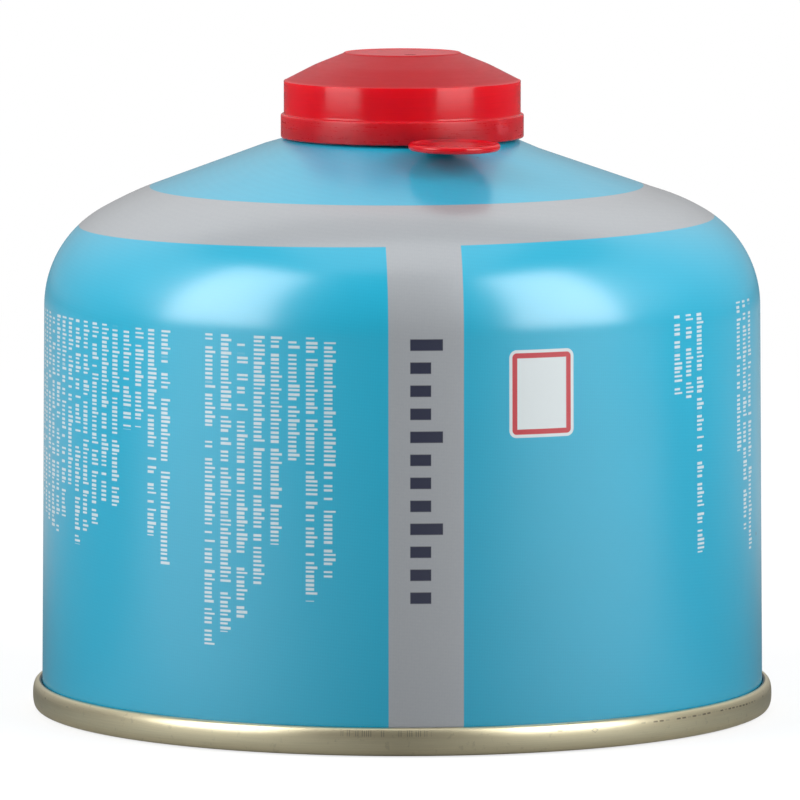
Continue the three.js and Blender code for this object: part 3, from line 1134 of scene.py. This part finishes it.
def buildFloor():
    half = stageLook["floorSize"] / 2
    mesh = bpy.data.meshes.new("studio_floor")
    corners = [(-half, -half, 0), (half, -half, 0), (half, half, 0), (-half, half, 0)]
    mesh.from_pydata(corners, [], [(0, 1, 2, 3)])
    finish = bpy.data.materials.new("floorPaper")
    finish.use_nodes = True
    finish.node_tree.nodes.clear()
    make = Maker(finish.node_tree)
    seen = make.add("ShaderNodeLightPath", out="Is Camera Ray")
    place = make.add("ShaderNodeTexCoord", out="Object")
    split = finish.node_tree.nodes.new("ShaderNodeSeparateXYZ")
    plug(finish.node_tree, place, split.inputs[0])
    x, y = (Flow(finish.node_tree, split.outputs[axis]) for axis in "XY")
    away = (x * x + y * y).math("SQRT").high(0.001)
    # the floor that the can mirrors is painted dim in front of it and lighter at its sides and behind:
    # painted shade and pools of light, for rays other than the camera's
    ahead = (0.1 - y * 12).low(1).high(0)
    behind = (y * 6 - 0.6).low(1).high(0)
    beside = (x / away).abs() * ahead
    dim = beside * (stageLook["floorSides"] - stageLook["floorFront"]) + stageLook["floorFront"]
    dim = behind * (stageLook["floorBehind"] - stageLook["floorFront"]) + dim
    shade = dim.high(seen * stageLook["floorSeen"])
    paper = make.add("ShaderNodeBsdfDiffuse", {}, {"Color": make.mix(shade, (0, 0, 0, 1), (1, 1, 1, 1))})
    glow = make.add("ShaderNodeEmission", {}, {"Color": (1, 1, 1, 1), "Strength": 1.0})
    spread = ((away - stageLook["glowFrom"]) * 2).low(1).high(0)
    share = spread * (1 - stageLook["floorGlow"]) + stageLook["floorGlow"]
    surface = make.add("ShaderNodeMixShader", {}, {0: seen * share, 1: paper, 2: glow})
    sink = finish.node_tree.nodes.new("ShaderNodeOutputMaterial")
    plug(finish.node_tree, surface, sink.inputs["Surface"])
    mesh.materials.append(finish)
    floor = bpy.data.objects.new("studio_floor", mesh)
    bpy.context.scene.collection.objects.link(floor)
    floor.location.z = -stageLook["floorDrop"]


def buildWorld():
    world = bpy.data.worlds.new("studioAir")
    world.use_nodes = True
    world.node_tree.nodes.clear()
    make = Maker(world.node_tree)
    seen = make.add("ShaderNodeLightPath", out="Is Camera Ray")
    split = world.node_tree.nodes.new("ShaderNodeSeparateXYZ")
    plug(world.node_tree, make.add("ShaderNodeTexCoord", out="Generated"), split.inputs[0])
    behind = (Flow(world.node_tree, split.outputs["Y"]) * 0.8 + 0.5).low(1).high(0)
    rise = Flow(world.node_tree, split.outputs["Z"])
    above = (rise * 1.6 - 0.2).low(1).high(0) * ((0.8 - rise) * 14).low(1).high(0)
    soft = behind * (above * stageLook["airTop"] + (stageLook["airBack"] - stageLook["airFront"]))
    soft = soft + stageLook["airFront"]
    air = make.add("ShaderNodeBackground", {}, {"Color": (1, 1, 1, 1), "Strength": seen.high(soft)})
    sink = world.node_tree.nodes.new("ShaderNodeOutputWorld")
    plug(world.node_tree, air, sink.inputs["Surface"])
    bpy.context.scene.world = world


def addLight(name, place, aim, width, height, power):
    lamp = bpy.data.lights.new(name, "AREA")
    lamp.shape = "RECTANGLE"
    lamp.size = width
    lamp.size_y = height
    lamp.energy = power
    holder = bpy.data.objects.new(name, lamp)
    bpy.context.scene.collection.objects.link(holder)
    holder.location = place
    holder.rotation_euler = (Vector(aim) - Vector(place)).to_track_quat("-Z", "Y").to_euler()
    return holder


def addSoftBox(name, box):
    angle = math.radians(box["turn"])
    middle = (box["low"] + box["high"]) / 2
    place = (box["reach"] * math.sin(angle), -box["reach"] * math.cos(angle), middle)
    return addLight(name, place, (0, 0, middle), box["width"], box["high"] - box["low"], box["power"])


def buildLights():
    addSoftBox("leftSoftBox", stageLook["leftBox"])
    addSoftBox("rightSoftBox", stageLook["rightBox"])
    overhead = stageLook["overhead"]
    addLight("overhead", (0, -0.12, overhead["height"]), (0, 0, 0.05), overhead["size"], overhead["size"],
             overhead["power"])
    fill = stageLook["sideFill"]
    fills = [
        addSoftBox("leftFill", {**fill, "turn": -fill["turn"]}),
        addSoftBox("rightFill", fill),
        addSoftBox("backFill", stageLook["backFill"]),
    ]
    for lamp in fills:
        lamp.visible_glossy = False


def buildCamera():
    lens = bpy.data.cameras.new("photoCamera")
    lens.sensor_width = 36
    lens.lens = photoView["focal"] / photoView["width"] * lens.sensor_width
    lens.clip_start = 0.05
    lens.clip_end = 30
    camera = bpy.data.objects.new("photoCamera", lens)
    bpy.context.scene.collection.objects.link(camera)
    camera.location = (0, -photoView["distance"], photoView["height"])
    camera.rotation_euler = (math.radians(90 - photoView["pitch"]), 0, math.radians(photoView["yaw"]))
    bpy.context.scene.camera = camera


# Build everything

bpy.context.scene.view_settings.view_transform = "Standard"
buildCamera()
buildWorld()
buildLights()
buildFloor()
print("stage, lights and camera are in place")

can = buildCan()
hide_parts("can_body")
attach(can, "can")
end = buildEnd()
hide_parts("bottom_end")
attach(end, "can")
print("can and seamed end are built")

cup = buildValveCup()
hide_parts("valve_cup")
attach(cup, "can")
seal = buildStemGasket()
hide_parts("stem_gasket")
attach(seal, "can")
stem = buildStem()
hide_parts("valve_stem")
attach(stem, "stem")
spring = buildSpring()
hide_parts("valve_spring")
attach(spring, "can")
springFoot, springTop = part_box("valve_spring")
pressTravel = next(joint for joint in frame["joints"] if joint["name"] == "stem_press")["range_m"][1]
springLength = springTop.z - springFoot.z
(springLength - pressTravel) / springLength
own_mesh(spring)
neckRubber = plainFinish("neckRubber", ((40, 40, 41), (28, 28, 29)), 0.0, 0.6, 500, 0.04)
redress("neck_gasket", neckRubber)
housingNylon = plainFinish("housingNylon", ((226, 222, 208), (212, 207, 192)), 0.0, 0.42, 350, 0.03)
redress("valve_housing", housingNylon)
print("valve is built")

capStep = foot("cap") + capSize["bandHeight"]
capFinish = capPolyethylene(capStep, capStep + capSize["rimHeight"])
capShell = buildCap(capFinish)
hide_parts("cap")
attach(capShell, "cap")
liftTab = buildTab(capFinish)
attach(liftTab, "cap")
print("cap and lift tab are built")
